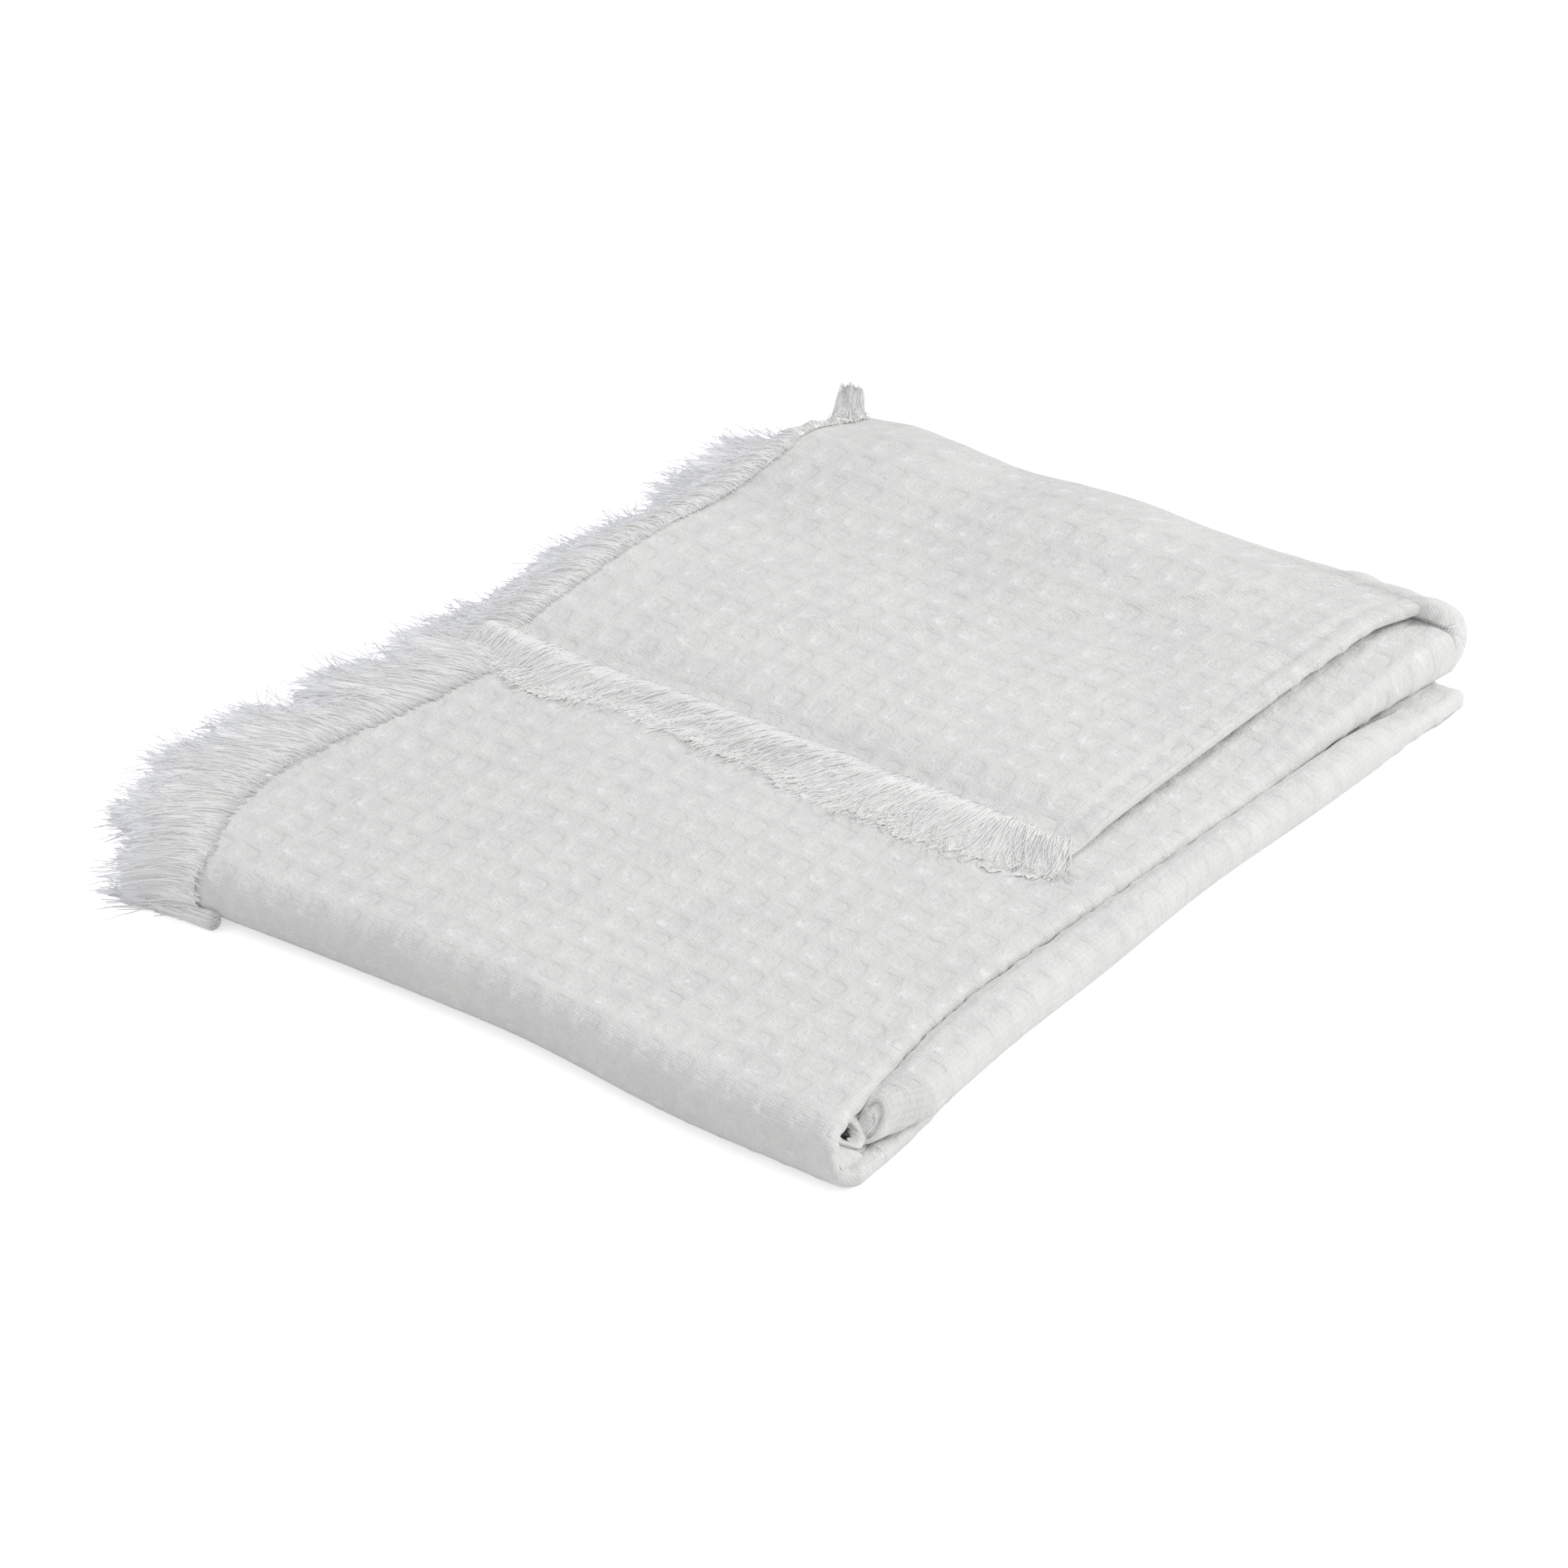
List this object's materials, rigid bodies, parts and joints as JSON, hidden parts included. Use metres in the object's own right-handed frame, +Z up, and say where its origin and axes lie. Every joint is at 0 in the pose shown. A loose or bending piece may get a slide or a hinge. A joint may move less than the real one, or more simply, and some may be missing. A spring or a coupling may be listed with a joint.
{
  "type": "folded fringed bedspread",
  "caption": "Cotton bedspread in a honeycomb weave, folded into a flat pile with a loop at the back and frayed fringe along its open edges.",
  "frame": {"origin": "middle of the footprint, on the surface that the folded cloth lies on", "axes": "+X along the front fold toward the closed side folds, with the fringe at -X, +Y toward the loop at the back, +Z up"},
  "size_m": [0.4748, 0.538, 0.0602],
  "materials": {
    "cotton": "matt",
    "yarn": "matt"
  },
  "bodies": {
    "root": {"bedspread": "cotton", "fringe_under": "yarn", "fringe_middle": "yarn", "fringe_top": "yarn", "fringe_flap_side": "yarn", "fringe_flap_front": "yarn"}
  },
  "joints": []
}
